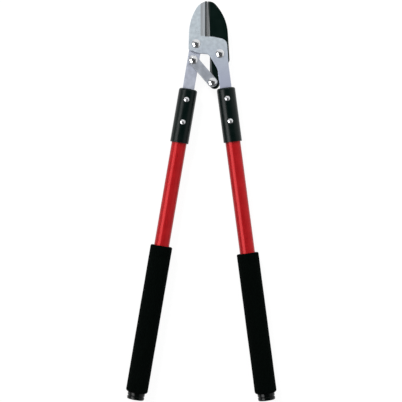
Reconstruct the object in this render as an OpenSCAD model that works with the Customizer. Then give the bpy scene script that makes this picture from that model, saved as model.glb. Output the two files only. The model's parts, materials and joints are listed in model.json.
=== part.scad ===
// Anvil lopper with a compound link, lying flat with its jaws closed.
// X runs across the jaws, Y from the handles to the jaw tips, Z through the thickness.
// The head is drawn about the handle pivot, on the middle plane of the blade.
// The right handle, the jaw plates and the anvil are one frame. The left handle turns
// on the handle pivot, and its link pulls the tail of the blade round the blade pivot.

/* [Handles] */
// Outer diameter of the handle tubes
tube_d = 25.4; // [23:0.1:30]
// Wall of the handle tubes
tube_wall = 1.2; // [0.8:0.1:1.6]
// Length of a handle, from the top of its socket to the end of its cap
handle_len = 529; // [460:1:640]
// Lean of the left handle from the cutting line, in degrees
left_lean = 9.7; // [8:0.1:12]
// Lean of the right handle from the cutting line, in degrees
right_lean = 7.5; // [6:0.1:10]
// Distance from the handle pivot to the top of the left socket
left_reach = 77; // [70:0.5:95]
// Distance along the right handle from the blade pivot to the top of the right socket
right_reach = 58; // [57:0.5:75]
// Sideways distance from the blade pivot to the axis of the right handle
right_shift = 2.2; // [0:0.1:4]

/* [Sockets] */
// Wall of the sockets that join the tubes to the head
socket_wall = 2.7; // [2:0.1:4]
// Length of the sockets
socket_len = 91.5; // [80:0.5:110]
// Thickness of the closed top of a socket
socket_top = 4; // [3:0.5:6]
// Radius of the rounded shoulder of a socket
socket_round = 3.6; // [1:0.1:3.8]
// Radius of the rounded lower rim of a socket
socket_rim = 0.8; // [0.4:0.1:1.2]
// Diameter of the socket rivets
rivet_d = 5; // [4:0.1:6]
// Diameter of the domed heads of the socket rivets
rivet_head_d = 9.5; // [8:0.1:11]
// Height of the domed heads of the socket rivets
rivet_head_h = 2; // [1.2:0.1:3]
// Distance from the top of a socket to its first rivet
rivet_first = 18.5; // [14:0.5:24]
// Distance between the two rivets of a socket
rivet_pitch = 38.2; // [30:0.1:44]
// Length of tang beyond the second rivet
tang_tail = 10; // [6:0.5:20]

/* [Grips] */
// Wall of the foam grips
grip_wall = 5.75; // [4:0.05:8]
// Length of the left grip
left_grip_len = 250; // [180:1:280]
// Length of the right grip
right_grip_len = 237; // [180:1:280]
// Radius of the rounded upper ends of the grips
grip_round = 2.5; // [1:0.1:3.5]
// Radius of the rounded lower ends of the grips
grip_foot_round = 4.5; // [1:0.1:5]
// Wall of the end caps
cap_wall = 1.7; // [1.2:0.1:3]
// Length of the end caps
cap_len = 12; // [10:0.5:25]
// Thickness of the closed end of an end cap
cap_end = 3; // [2:0.5:5]
// Radius of the rounded rim of an end cap
cap_round = 2; // [0.5:0.1:2.5]
// Depth of the ring groove round an end cap
cap_groove = 0.5; // [0.2:0.1:1]

/* [Head] */
// Thickness of the two jaw plates
plate_t = 3; // [2.5:0.1:4]
// Thickness of the two links
link_t = 3; // [2.5:0.1:4]
// Thickness of the blade and of the left tang
blade_t = 4; // [3:0.1:5]
// Thickness of the washers in the gaps beside the blade and the left tang
washer_t = 0.5; // [0.4:0.05:1]
// Diameter of the washers
washer_d = 15.6; // [12:0.1:16]
// Distance from the handle pivot to the jaw tips
jaw_len = 71.2; // [62:0.2:85]
// Distance from the handle pivot to the outer edge of the anvil jaw
jaw_side = 12.9; // [11.5:0.1:15]
// Distance from the handle pivot down to the lower corner of the anvil jaw
jaw_foot = 10.3; // [9:0.1:12]
// Distance from the handle pivot up to the top edge of the bridge
bridge_top = 12; // [11:0.1:15]
// Distance from the handle pivot down to the lower edge of the bridge
bridge_low = 17.4; // [16:0.1:20]
// Sideways distance from the blade pivot to the outer corner of the bridge
bridge_lug = 11.6; // [10:0.1:16]
// Distance along the right handle from the blade pivot to the inner corner of its tang
crotch_reach = 24; // [20:0.5:30]
// Distance along the right handle from the blade pivot to the outer shoulder of its tang
shoulder_reach = 20; // [14:0.5:30]

/* [Anvil] */
// Sideways distance from the handle pivot to the face of the anvil
anvil_x = 18.3; // [16:0.1:22]
// How far the anvil stands out from the jaw plates
anvil_proud = 3.35; // [2:0.05:5]
// Width of the face of the anvil
anvil_w = 9; // [7:0.1:10.5]
// Depth of the anvil's web between the jaw plates
web_w = 17; // [15:0.5:19]
// Diameter of the rivet through the web
anvil_rivet_d = 5; // [4:0.1:6]
// Width of the lowered band along the anvil edge of the jaw plates
band_w = 7.5; // [5:0.1:9]
// Width of the slope from the face of a jaw plate down to its band
band_slope = 4; // [1:0.1:4.5]
// Depth of the lowered band
band_drop = 0.9; // [0.3:0.1:1.5]

/* [Blade] */
// Width of the blade from its edge to its back
blade_w = 33.2; // [30:0.1:40]
// Gap between the edge of the blade and the anvil in the closed pose
cut_gap = 0.3; // [0.2:0.05:1]
// Width of the ground bevel along the edge
bevel_w = 4.3; // [2:0.1:8]
// Thickness left at the edge
edge_t = 0.4; // [0.2:0.05:1]
// Radius of the curved back of the blade
blade_back_r = 97; // [50:1:110]
// Radius at the tip of the blade
blade_tip_r = 20; // [6:0.5:22]
// How far the blade reaches down behind the bridge from its top edge
heel_cover = 3.5; // [2:0.1:6]
// Distance from the blade pivot out to the lower back corner of the blade
heel_back = 16.3; // [13:0.1:18]
// Width of the tail of the blade
tail_w = 15.8; // [14:0.1:16]
// Distance from the tail's inner edge to the lower link pivot
tail_inset = 4.3; // [3:0.1:6]
// Length of tail below the lower link pivot
tail_below = 11.3; // [9:0.1:11.5]
// Radius of the eye round the lower link pivot
eye_r = 8; // [7:0.1:8.2]

/* [Pivots] */
// Sideways distance from the handle pivot to the blade pivot
blade_pivot_x = 40; // [38:0.1:46]
// Distance from the handle pivot down to the blade pivot
blade_pivot_drop = 16.5; // [14:0.1:20]
// Distance from the handle pivot to the upper link pivot
link_arm = 27.5; // [26:0.1:32]
// Distance from the blade pivot to the lower link pivot
tail_arm = 49.6; // [47:0.1:52]
// Lean of the tail from the cutting line, in degrees
tail_lean = 14.7; // [13:0.1:18]
// Width of the links
link_w = 16.5; // [16.2:0.1:18]
// Diameter of the pivot bolts
bolt_d = 6.4; // [5:0.1:7]
// Diameter of the domed bolt heads
head_d = 14.5; // [12:0.1:16]
// Height of the domed bolt heads
head_h = 3.8; // [3:0.1:5]
// Height of the straight rim of the bolt heads
head_rim = 0.9; // [0.5:0.1:1.5]
// Size of the hexagon key socket in the bolt heads, across its flats
key_af = 4; // [3:0.5:6]
// Depth of the key socket
key_depth = 2; // [1:0.1:2.5]
// Size of the lock nuts across their flats
nut_af = 11; // [10:0.5:13]
// Height of the lock nuts without their collar
nut_h = 5; // [4:0.1:7]
// Height of the lock nuts' round collar
collar_h = 1.8; // [1:0.1:3]
// Length of bolt that shows beyond the collar
bolt_end = 1.2; // [0.5:0.1:3]

/* [Clearances] */
// Radial clearance of the pivot bolts in their holes
run_clear = 0.05; // [0.02:0.01:0.1]
// Radial clearance of the lower link bolt in the tail, where the link's arc is taken up
eye_clear = 1.65; // [1.6:0.05:2]
// Radial clearance of sleeves on the tubes and rivets in their holes
fit_clear = 0.1; // [0.05:0.05:0.3]
// Clearance of a tang at the corners of its tube bore
tang_clear = 0.25; // [0.1:0.05:0.6]
// Clearance of a tang in the slot of its socket
slot_clear = 0.2; // [0.1:0.05:0.4]

/* [Hidden] */
$fn = 96;
// Extra length of every cut
overrun = 1;
// Largest turn between two points of a rounded corner, in degrees
arc_step = 5;
// Largest share of an edge that one rounded corner may take
edge_share = 0.72;
// Largest share of an edge that two rounded corners may take together
pair_share = 0.99;

// Thickness stack, from the middle plane outwards
gap_half = blade_t / 2 + washer_t;
plate_out = gap_half + plate_t;
link_out = gap_half + link_t;

// Round sizes
tube_r = tube_d / 2;
bore_r = tube_r - tube_wall;
sleeve_r = tube_r + fit_clear;
socket_r = sleeve_r + socket_wall;
grip_r = sleeve_r + grip_wall;
cap_r = sleeve_r + cap_wall;
rivet_r = rivet_d / 2;
rivet_head_r = rivet_head_d / 2;
bolt_r = bolt_d / 2;
head_r = head_d / 2;
hole_r = bolt_r + run_clear;
eye_hole_r = bolt_r + eye_clear;

// Widest tang that still enters the tube with the whole plate stack
tang_w = 2 * sqrt(pow(bore_r - tang_clear, 2) - pow(plate_out, 2));
tang_in = rivet_first + rivet_pitch + tang_tail;

// Directions down each handle and across it
left_dir = [-sin(left_lean), -cos(left_lean)];
left_side = [cos(left_lean), -sin(left_lean)];
right_dir = [sin(right_lean), -cos(right_lean)];
right_side = [cos(right_lean), sin(right_lean)];

// Pivots, from the handle pivot
handle_pivot = [0, 0];
blade_pivot = [blade_pivot_x, -blade_pivot_drop];
upper_link_pivot = link_arm * left_dir;
lower_link_pivot = blade_pivot + tail_arm * [-sin(tail_lean), -cos(tail_lean)];
right_foot = blade_pivot + [right_shift, 0];

// Places on the middle plane, measured down a handle and across it
function on_left(down, across) = down * left_dir + across * left_side;
function on_right(down, across) = right_foot + down * right_dir + across * right_side;

// Edges of the anvil and of the blade
plate_x = anvil_x - anvil_proud;
blade_x = anvil_x + cut_gap;
heel_y = bridge_top - heel_cover;
tail_x = lower_link_pivot.x - tail_inset;
tail_y = lower_link_pivot.y - tail_below;

// Corner radii and shares that only shape the outlines
foot_r = 6;
sweep_r = 40;
bridge_corner_r = 4;
crotch_r = 20;
lug_r = 12;
shoulder_r = 60;
small_r = 0.8;
jaw_back_r = 84;
jaw_brow_r = 27;
tail_r = 7.6;
heel_r = 7;
flank_r = 20;
jaw_tip_drop_share = 0.004;
jaw_shoulder_shares = [0.87, 0.56];
jaw_brow_shares = [0.3, 0.929];
foot_sweep_shares = [0.2, 0.91];
bridge_end_share = 1.13;
bridge_crown_shares = [0.55, 0.99];
lug_y_share = 0.55;
back_y_share = 0.614;
tip_x_share = 0.3;
flank_y_share = 0.64;
heel_y_share = 0.74;
web_shares = [0.3, 0.34, 0.68, 0.87, 0.93];
anvil_rivet_shares = [0.73, 0.33];
nut_chamfer_share = 0.58;
groove_place_share = 0.42;
groove_width_share = 0.12;
collar_share = 0.93;
rivet_seat_share = 1.08;
rivet_sink_share = 1.2;
countersink_share = 0.4;
rivet_proud_share = 0.05;
link_waist_share = 0.98;
tang_eye_share = 1.02;

// Box of the whole tool: grip rims at the sides, cap rims below, jaw tips above
left_base = on_left(left_reach, 0);
right_base = on_right(right_reach, 0);
grip_foot = handle_len - cap_len;
low_x = left_base.x - sin(left_lean) * (grip_foot - grip_foot_round)
    - cos(left_lean) * (grip_r - grip_foot_round) - grip_foot_round;
high_x = right_base.x + sin(right_lean) * (grip_foot - grip_foot_round)
    + cos(right_lean) * (grip_r - grip_foot_round) + grip_foot_round;
left_low_y = left_base.y - cos(left_lean) * (handle_len - cap_round)
    - sin(left_lean) * (cap_r - cap_round) - cap_round;
right_low_y = right_base.y - cos(right_lean) * (handle_len - cap_round)
    - sin(right_lean) * (cap_r - cap_round) - cap_round;
low_y = min(left_low_y, right_low_y);
origin = [(low_x + high_x) / 2, (low_y + jaw_len) / 2, -grip_r];

echo(handle_pivot = handle_pivot - [origin.x, origin.y], height = grip_r);
echo(blade_pivot = blade_pivot - [origin.x, origin.y]);
echo(upper_link_pivot = upper_link_pivot - [origin.x, origin.y]);
echo(lower_link_pivot = lower_link_pivot - [origin.x, origin.y]);
echo(left_grip_end = on_left(left_reach + grip_foot, 0) - [origin.x, origin.y]);
echo(right_grip_end = on_right(right_reach + grip_foot, 0) - [origin.x, origin.y]);
echo(box = [high_x - low_x, jaw_len - low_y, 2 * grip_r], tang_w = tang_w, grip_r = grip_r);

// Outlines with rounded corners: each corner is [x, y, radius]
function unit(v) = v / norm(v);
function short_turn(angle) = angle > 180 ? angle - 360 : angle < -180 ? angle + 360 : angle;
function bearing(v) = atan2(v.y, v.x);
function half_angle(before, corner, after) =
    acos(unit(before - corner) * unit(after - corner)) / 2;
// How far along its edges a corner's arc starts, at most a share of the shorter edge
function corner_reach(before, corner, after, radius) =
    min(radius / tan(half_angle(before, corner, after)),
        edge_share * min(norm(before - corner), norm(after - corner)));
// Share of their reaches that two neighbouring corners have room for on their edge
function fit_share(place, reach, next_place, next_reach) =
    min(1, pair_share * norm(next_place - place) / (reach + next_reach));
function corner_arc(before, corner, after, reach) =
    let (
        u = unit(before - corner),
        v = unit(after - corner),
        half = half_angle(before, corner, after),
        arc_r = reach * tan(half),
        centre = corner + unit(u + v) * arc_r / sin(half),
        start = bearing(corner + u * reach - centre),
        sweep = short_turn(bearing(corner + v * reach - centre) - start),
        steps = ceil(abs(sweep) / arc_step)
    )
    [for (i = [0 : steps])
        centre + arc_r * [cos(start + sweep * i / steps), sin(start + sweep * i / steps)]];
function rounded(corners) =
    let (
        n = len(corners),
        last = n - 1,
        places = [for (corner = corners) [corner[0], corner[1]]],
        reaches = [for (i = [0 : last])
            corner_reach(places[(i + last) % n], places[i], places[(i + 1) % n], corners[i][2])],
        shares = [for (i = [0 : last])
            fit_share(places[i], reaches[i], places[(i + 1) % n], reaches[(i + 1) % n])]
    )
    [for (i = [0 : last])
        each corner_arc(
            places[(i + last) % n],
            places[i],
            places[(i + 1) % n],
            reaches[i] * min(shares[(i + last) % n], shares[i])
        )];
function with_radius(place, radius) = [place.x, place.y, radius];

// Placement helpers
module in_frame() {
    translate(-origin) children();
}
module at_pivot(pivot) {
    translate([pivot.x, pivot.y, 0]) children();
}
// Down a handle: Z runs along the tube from the top of its socket, Y faces the front
module down_left() {
    translate([left_base.x, left_base.y, 0]) rotate([0, 0, -left_lean]) rotate([90, 0, 0]) children();
}
module down_right() {
    translate([right_base.x, right_base.y, 0]) rotate([0, 0, right_lean]) rotate([90, 0, 0]) children();
}

// Place of the rivet through the anvil's web
anvil_rivet_place = [plate_x - anvil_rivet_shares[0] * web_w, anvil_rivet_shares[1] * jaw_len];
anvil_rivet_r = anvil_rivet_d / 2;
anvil_rivet_sink = countersink_share * plate_t;
anvil_rivet_proud = rivet_proud_share * plate_t;

// Places of the socket rivets, down a handle from the top of its socket
rivet_places = [rivet_first, rivet_first + rivet_pitch];

// Jaw plates: anvil jaw, bridge and right tang in one outline
plate_corners = [
    [-jaw_side, -jaw_foot, foot_r],
    [foot_sweep_shares[0] * anvil_x, -foot_sweep_shares[1] * bridge_low, sweep_r],
    [bridge_end_share * anvil_x, -bridge_low, bridge_corner_r],
    with_radius(on_right(crotch_reach, -tang_w / 2), crotch_r),
    with_radius(on_right(right_reach + tang_in, -tang_w / 2), small_r),
    with_radius(on_right(right_reach + tang_in, tang_w / 2), small_r),
    with_radius(on_right(shoulder_reach, tang_w / 2), shoulder_r),
    [blade_pivot.x + bridge_lug, lug_y_share * bridge_top, lug_r],
    [bridge_crown_shares[0] * (blade_pivot.x + bridge_lug), bridge_crown_shares[1] * bridge_top, sweep_r],
    [plate_x, bridge_top, small_r],
    [plate_x, (1 - jaw_tip_drop_share) * jaw_len, small_r],
    [jaw_brow_shares[0] * plate_x, jaw_brow_shares[1] * jaw_len, jaw_brow_r],
    [-jaw_shoulder_shares[0] * jaw_side, jaw_shoulder_shares[1] * jaw_len, jaw_back_r]
];
module pivot_hole(pivot, radius) {
    translate(pivot) circle(radius);
}
module right_rivet_holes() {
    for (down = rivet_places) {
        translate(on_right(right_reach + down, 0)) circle(rivet_r + fit_clear);
    }
}
module band_cut() {
    inner = plate_x - band_w;
    low = plate_out - band_drop;
    translate([0, jaw_len + overrun, 0])
        rotate([90, 0, 0])
            linear_extrude(height = jaw_len - bridge_top)
                polygon([
                    [inner, plate_out],
                    [inner + band_slope, low],
                    [plate_x + overrun, low],
                    [plate_x + overrun, plate_out + overrun],
                    [inner, plate_out + overrun]
                ]);
}
module countersink(radius) {
    translate([0, 0, plate_out - anvil_rivet_sink])
        cylinder(r1 = radius, r2 = radius + anvil_rivet_sink, h = anvil_rivet_sink);
}
module jaw_plate() {
    difference() {
        translate([0, 0, gap_half])
            linear_extrude(height = plate_t)
                difference() {
                    polygon(rounded(plate_corners));
                    pivot_hole(handle_pivot, hole_r);
                    pivot_hole(blade_pivot, hole_r);
                    pivot_hole(anvil_rivet_place, anvil_rivet_r + fit_clear);
                    right_rivet_holes();
                }
        band_cut();
        at_pivot(anvil_rivet_place) countersink(anvil_rivet_r + fit_clear);
    }
}
module front_jaw_plate() {
    color("silver") in_frame() jaw_plate();
}
module back_jaw_plate() {
    color("silver") in_frame() mirror([0, 0, 1]) jaw_plate();
}

// Anvil: a head that stands out of the jaw plates and a web riveted between them
module anvil() {
    anvil_low = bridge_top + small_r;
    web_low = (1 + web_shares[0]) * bridge_top;
    color("dimgray") in_frame() difference() {
        union() {
            translate([plate_x, anvil_low, -anvil_w / 2])
                cube([anvil_proud, jaw_len - anvil_low, anvil_w]);
            linear_extrude(height = 2 * gap_half, center = true)
                polygon([
                    [plate_x - web_w, web_low],
                    [plate_x + anvil_proud / 2, web_low],
                    [plate_x + anvil_proud / 2, web_shares[4] * jaw_len],
                    [plate_x - web_shares[1] * web_w, web_shares[3] * jaw_len],
                    [plate_x - web_w, web_shares[2] * jaw_len]
                ]);
        }
        at_pivot(anvil_rivet_place)
            cylinder(r = anvil_rivet_r + fit_clear, h = 2 * plate_out, center = true);
    }
}
module anvil_rivet_half() {
    cylinder(r = anvil_rivet_r, h = plate_out + anvil_rivet_proud);
    countersink(anvil_rivet_r);
    translate([0, 0, plate_out])
        cylinder(r = anvil_rivet_r + anvil_rivet_sink, h = anvil_rivet_proud);
}
module anvil_rivet() {
    color("lightgray") in_frame() at_pivot(anvil_rivet_place) union() {
        anvil_rivet_half();
        mirror([0, 0, 1]) anvil_rivet_half();
    }
}

// Blade: curved back, ground edge, and a tail down to the lower link pivot
blade_corners = [
    [blade_x, jaw_len, small_r],
    [blade_x, heel_y, small_r],
    [tail_x, heel_y - (tail_x - blade_x), tail_r],
    [tail_x, tail_y, tail_r],
    [tail_x + tail_w, tail_y, tail_r],
    [tail_x + tail_w, lower_link_pivot.y + flank_y_share * tail_below, flank_r],
    [blade_pivot.x + heel_back, blade_pivot.y - heel_y_share * heel_back, heel_r],
    [blade_x + blade_w, back_y_share * jaw_len, blade_back_r],
    [blade_x + tip_x_share * blade_w, jaw_len, blade_tip_r]
];
module bevel_cut() {
    drop = (blade_t - edge_t) / 2;
    translate([0, jaw_len + overrun, 0])
        rotate([90, 0, 0])
            linear_extrude(height = jaw_len + overrun - heel_y)
                polygon([
                    [blade_x - bevel_w, edge_t / 2 - drop],
                    [blade_x + bevel_w, blade_t / 2],
                    [blade_x + bevel_w, blade_t],
                    [blade_x - bevel_w, blade_t]
                ]);
}
module blade() {
    color([0.05, 0.07, 0.06]) in_frame() difference() {
        linear_extrude(height = blade_t, center = true)
            difference() {
                union() {
                    polygon(rounded(blade_corners));
                    pivot_hole(lower_link_pivot, eye_r);
                }
                pivot_hole(blade_pivot, hole_r);
                pivot_hole(lower_link_pivot, eye_hole_r);
            }
        bevel_cut();
        mirror([0, 0, 1]) bevel_cut();
    }
}

// Links: waisted bars with two round eyes, in front of and behind the left tang and the tail
module link() {
    span = lower_link_pivot - upper_link_pivot;
    waist = link_waist_share * link_w;
    translate([0, 0, gap_half])
        linear_extrude(height = link_t)
            difference() {
                union() {
                    pivot_hole(upper_link_pivot, link_w / 2);
                    pivot_hole(lower_link_pivot, link_w / 2);
                    translate(upper_link_pivot)
                        rotate(bearing(span))
                            translate([0, -waist / 2])
                                square([norm(span), waist]);
                }
                pivot_hole(upper_link_pivot, hole_r);
                pivot_hole(lower_link_pivot, hole_r);
            }
}
module front_link() {
    color("darkgray") in_frame() link();
}
module back_link() {
    color("darkgray") in_frame() mirror([0, 0, 1]) link();
}

// Tangs: a single bar on the left, the two jaw plates with a spacer on the right
module left_tang() {
    color("lightsteelblue") in_frame() linear_extrude(height = blade_t, center = true)
        difference() {
            union() {
                circle(tang_eye_share * tang_w / 2);
                rotate(-left_lean)
                    translate([-tang_w / 2, -left_reach - tang_in])
                        square([tang_w, left_reach + tang_in]);
            }
            pivot_hole(handle_pivot, hole_r);
            pivot_hole(upper_link_pivot, hole_r);
            for (down = rivet_places) {
                pivot_hole(on_left(left_reach + down, 0), rivet_r + fit_clear);
            }
        }
}
module right_tang_spacer() {
    color("gray") in_frame() linear_extrude(height = 2 * gap_half, center = true)
        difference() {
            translate(right_base)
                rotate(right_lean)
                    translate([-tang_w / 2, -tang_in])
                        square([tang_w, tang_in]);
            right_rivet_holes();
        }
}

// Pivot bolts with domed heads at the front and lock nuts at the back
module pivot_bolt(outer) {
    crown = head_h - head_rim;
    dome_r = (pow(head_r, 2) + pow(crown, 2)) / (2 * crown);
    tail = outer + nut_h + collar_h + bolt_end;
    difference() {
        union() {
            translate([0, 0, outer]) rotate_extrude() intersection() {
                square([head_r, head_h]);
                translate([0, head_h - dome_r]) circle(dome_r);
            }
            translate([0, 0, -tail]) cylinder(r = bolt_r, h = tail + outer + head_rim);
        }
        translate([0, 0, outer + head_h - key_depth])
            cylinder(d = key_af / cos(30), h = key_depth + overrun, $fn = 6);
    }
}
module lock_nut(outer) {
    flat_r = nut_af / 2;
    corner_r = flat_r / cos(30);
    chamfer = nut_chamfer_share * (corner_r - flat_r);
    mirror([0, 0, 1]) translate([0, 0, outer]) difference() {
        union() {
            intersection() {
                cylinder(r = corner_r, h = nut_h, $fn = 6);
                rotate_extrude() polygon([
                    [0, 0], [corner_r, 0], [corner_r, nut_h - chamfer], [flat_r, nut_h], [0, nut_h]
                ]);
            }
            cylinder(r = collar_share * flat_r, h = nut_h + collar_h);
        }
        translate([0, 0, -overrun]) cylinder(r = hole_r, h = nut_h + collar_h + 2 * overrun);
    }
}
module washer_pair() {
    for (low = [blade_t / 2, -gap_half]) {
        translate([0, 0, low]) linear_extrude(height = washer_t) difference() {
            circle(washer_d / 2);
            circle(hole_r);
        }
    }
}
module frame_pivot_bolts() {
    color("gainsboro") in_frame() for (pivot = [handle_pivot, blade_pivot]) {
        at_pivot(pivot) pivot_bolt(plate_out);
    }
}
module frame_pivot_nuts() {
    color("gainsboro") in_frame() for (pivot = [handle_pivot, blade_pivot]) {
        at_pivot(pivot) lock_nut(plate_out);
    }
}
module frame_pivot_washers() {
    color("goldenrod") in_frame() for (pivot = [handle_pivot, blade_pivot]) {
        at_pivot(pivot) washer_pair();
    }
}
module upper_link_bolt() {
    color("gainsboro") in_frame() at_pivot(upper_link_pivot) pivot_bolt(link_out);
}
module upper_link_nut() {
    color("gainsboro") in_frame() at_pivot(upper_link_pivot) lock_nut(link_out);
}
module upper_link_washers() {
    color("goldenrod") in_frame() at_pivot(upper_link_pivot) washer_pair();
}
module lower_link_bolt() {
    color("gainsboro") in_frame() at_pivot(lower_link_pivot) pivot_bolt(link_out);
}
module lower_link_nut() {
    color("gainsboro") in_frame() at_pivot(lower_link_pivot) lock_nut(link_out);
}
module lower_link_washers() {
    color("goldenrod") in_frame() at_pivot(lower_link_pivot) washer_pair();
}

// Half profile of a round bar along Z with rounded rims at its two ends
module bar_profile(radius, length, near_round, far_round) {
    translate([0, near_round]) square([radius, length - near_round - far_round]);
    square([radius - near_round, length - far_round]);
    translate([0, near_round]) square([radius - far_round, length - near_round]);
    translate([radius - near_round, near_round]) circle(near_round);
    translate([radius - far_round, length - far_round]) circle(far_round);
}

// Sockets: moulded sleeves with a slot for the tang and flat seats for the rivets
module rivet_cut(down, radius, from_y) {
    translate([0, from_y, down]) rotate([-90, 0, 0]) cylinder(r = radius, h = 2 * socket_r);
}
seat_r = rivet_seat_share * rivet_head_r;
seat_y = sqrt(pow(socket_r, 2) - pow(rivet_sink_share * seat_r, 2));
module socket(tang_t) {
    slot = [tang_w + 2 * slot_clear, tang_t + 2 * slot_clear, socket_top + 2 * overrun];
    difference() {
        rotate_extrude() difference() {
            bar_profile(socket_r, socket_len, socket_round, socket_rim);
            translate([0, socket_top]) square([sleeve_r, socket_len]);
        }
        translate([-slot.x / 2, -slot.y / 2, -overrun]) cube(slot);
        for (down = rivet_places) {
            rivet_cut(down, rivet_r + fit_clear, -socket_r);
            rivet_cut(down, seat_r, seat_y);
            mirror([0, 1, 0]) rivet_cut(down, seat_r, seat_y);
        }
    }
}
module left_socket() {
    color([0.08, 0.1, 0.1]) in_frame() down_left() socket(blade_t);
}
module right_socket() {
    color([0.08, 0.1, 0.1]) in_frame() down_right() socket(2 * plate_out);
}

// Socket rivets: a shank through socket, tube and tang with a dome at each end
module rivet_dome() {
    dome_r = (pow(rivet_head_r, 2) + pow(rivet_head_h, 2)) / (2 * rivet_head_h);
    translate([0, 0, seat_y]) rotate_extrude() intersection() {
        square([rivet_head_r, rivet_head_h]);
        translate([0, rivet_head_h - dome_r]) circle(dome_r);
    }
}
module socket_rivets() {
    for (down = rivet_places) {
        translate([0, 0, down]) rotate([-90, 0, 0]) union() {
            cylinder(r = rivet_r, h = 2 * seat_y + rivet_head_h, center = true);
            rivet_dome();
            mirror([0, 0, 1]) rivet_dome();
        }
    }
}
module left_socket_rivets() {
    color("silver") in_frame() down_left() socket_rivets();
}
module right_socket_rivets() {
    color("silver") in_frame() down_right() socket_rivets();
}

// Tubes: from the closed top of a socket to the closed end of a cap
module tube() {
    length = handle_len - socket_top - cap_end;
    difference() {
        translate([0, 0, socket_top]) difference() {
            cylinder(r = tube_r, h = length);
            translate([0, 0, -overrun]) cylinder(r = bore_r, h = length + 2 * overrun);
        }
        for (down = rivet_places) {
            rivet_cut(down, rivet_r + fit_clear, -socket_r);
        }
    }
}
module left_tube() {
    color([0.75, 0.07, 0.11]) in_frame() down_left() tube();
}
module right_tube() {
    color([0.75, 0.07, 0.11]) in_frame() down_right() tube();
}

// Grips: foam sleeves that butt against the end caps
module grip(length) {
    translate([0, 0, grip_foot - length]) rotate_extrude() difference() {
        bar_profile(grip_r, length, grip_round, grip_foot_round);
        square([sleeve_r, length]);
    }
}
module left_grip() {
    color([0.03, 0.04, 0.04]) in_frame() down_left() grip(left_grip_len);
}
module right_grip() {
    color([0.03, 0.04, 0.04]) in_frame() down_right() grip(right_grip_len);
}

// End caps: closed sleeves over the tube ends with a ring groove
module end_cap() {
    groove = groove_width_share * cap_len;
    translate([0, 0, grip_foot]) rotate_extrude() difference() {
        bar_profile(cap_r, cap_len, cap_groove, cap_round);
        square([sleeve_r, cap_len - cap_end]);
        translate([cap_r - cap_groove, groove_place_share * cap_len]) square([cap_r, groove]);
    }
}
module left_end_cap() {
    color([0.05, 0.06, 0.06]) in_frame() down_left() end_cap();
}
module right_end_cap() {
    color([0.05, 0.06, 0.06]) in_frame() down_right() end_cap();
}

front_jaw_plate();
back_jaw_plate();
anvil();
anvil_rivet();
blade();
front_link();
back_link();
left_tang();
right_tang_spacer();
frame_pivot_bolts();
frame_pivot_nuts();
frame_pivot_washers();
upper_link_bolt();
upper_link_nut();
upper_link_washers();
lower_link_bolt();
lower_link_nut();
lower_link_washers();
left_socket();
right_socket();
left_socket_rivets();
right_socket_rivets();
left_tube();
right_tube();
left_grip();
right_grip();
left_end_cap();
right_end_cap();
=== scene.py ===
"""Looks of an anvil lopper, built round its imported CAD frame.

X runs across the jaws, Y from the handles to the jaw tips and Z up through the
thickness, in metres. Outlines of the head are worked out flat, in millimetres
about the handle pivot, and moved into the frame when their mesh is made.
"""

import json
import logging
import math
from collections.abc import Callable
from dataclasses import dataclass
from enum import Enum
from typing import Any

import bpy
import numpy as np
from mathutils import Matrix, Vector
from mathutils.geometry import delaunay_2d_cdt

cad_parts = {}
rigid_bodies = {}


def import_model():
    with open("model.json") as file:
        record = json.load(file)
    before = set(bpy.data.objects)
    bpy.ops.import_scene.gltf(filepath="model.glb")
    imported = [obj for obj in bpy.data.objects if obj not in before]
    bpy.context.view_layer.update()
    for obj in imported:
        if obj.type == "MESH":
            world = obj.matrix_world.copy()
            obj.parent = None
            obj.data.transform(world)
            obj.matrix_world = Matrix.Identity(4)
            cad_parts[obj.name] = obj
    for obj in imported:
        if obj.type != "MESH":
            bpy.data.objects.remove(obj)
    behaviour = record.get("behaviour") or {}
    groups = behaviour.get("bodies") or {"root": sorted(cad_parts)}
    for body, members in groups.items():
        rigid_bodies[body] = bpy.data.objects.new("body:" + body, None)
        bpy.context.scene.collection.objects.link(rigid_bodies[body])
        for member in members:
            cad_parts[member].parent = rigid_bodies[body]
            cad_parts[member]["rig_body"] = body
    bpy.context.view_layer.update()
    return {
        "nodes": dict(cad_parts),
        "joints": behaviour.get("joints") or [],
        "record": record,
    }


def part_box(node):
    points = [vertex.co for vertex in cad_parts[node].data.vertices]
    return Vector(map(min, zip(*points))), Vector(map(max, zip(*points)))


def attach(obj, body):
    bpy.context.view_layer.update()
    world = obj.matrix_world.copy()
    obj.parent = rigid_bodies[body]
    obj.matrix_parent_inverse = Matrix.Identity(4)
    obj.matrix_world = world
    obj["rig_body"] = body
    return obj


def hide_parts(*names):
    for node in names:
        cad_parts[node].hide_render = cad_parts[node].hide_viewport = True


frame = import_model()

log = logging.getLogger("lopper")

Array = np.ndarray
Pair = tuple[float, float]
Triple = tuple[float, float, float]
Tone = tuple[int, int, int]
Socket = bpy.types.NodeSocket
Feed = Socket | float | tuple[float, ...]

MM = 0.001
TURN = 2 * math.pi


class Side(Enum):
    """The two handles, seen from the front."""

    LEFT = "left"
    RIGHT = "right"


class Layer(Enum):
    """The two outer layers of the head, on either side of the middle plane."""

    FRONT = 1
    BACK = -1


class Slot(Enum):
    """Material slots of the record."""

    JAW = "jaw_steel"
    ANVIL = "anvil_metal"
    BLADE = "blade_coating"
    LINK = "link_steel"
    TANG = "tang_steel"
    HARDWARE = "hardware"
    RIVET = "rivet_steel"
    WASHER = "washer_bronze"
    SOCKET = "socket_plastic"
    TUBE = "tube_paint"
    FOAM = "grip_foam"
    CAP = "cap_vinyl"


class Grain(Enum):
    """Kinds of fine relief that a finish can have."""

    BLASTED = "blasted"
    BRUSHED = "brushed"
    PEEL = "peel"
    CELLS = "cells"


class Operation(Enum):
    """Arithmetic that a node can do."""

    ADD = "ADD"
    MULTIPLY = "MULTIPLY"
    MAXIMUM = "MAXIMUM"


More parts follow.
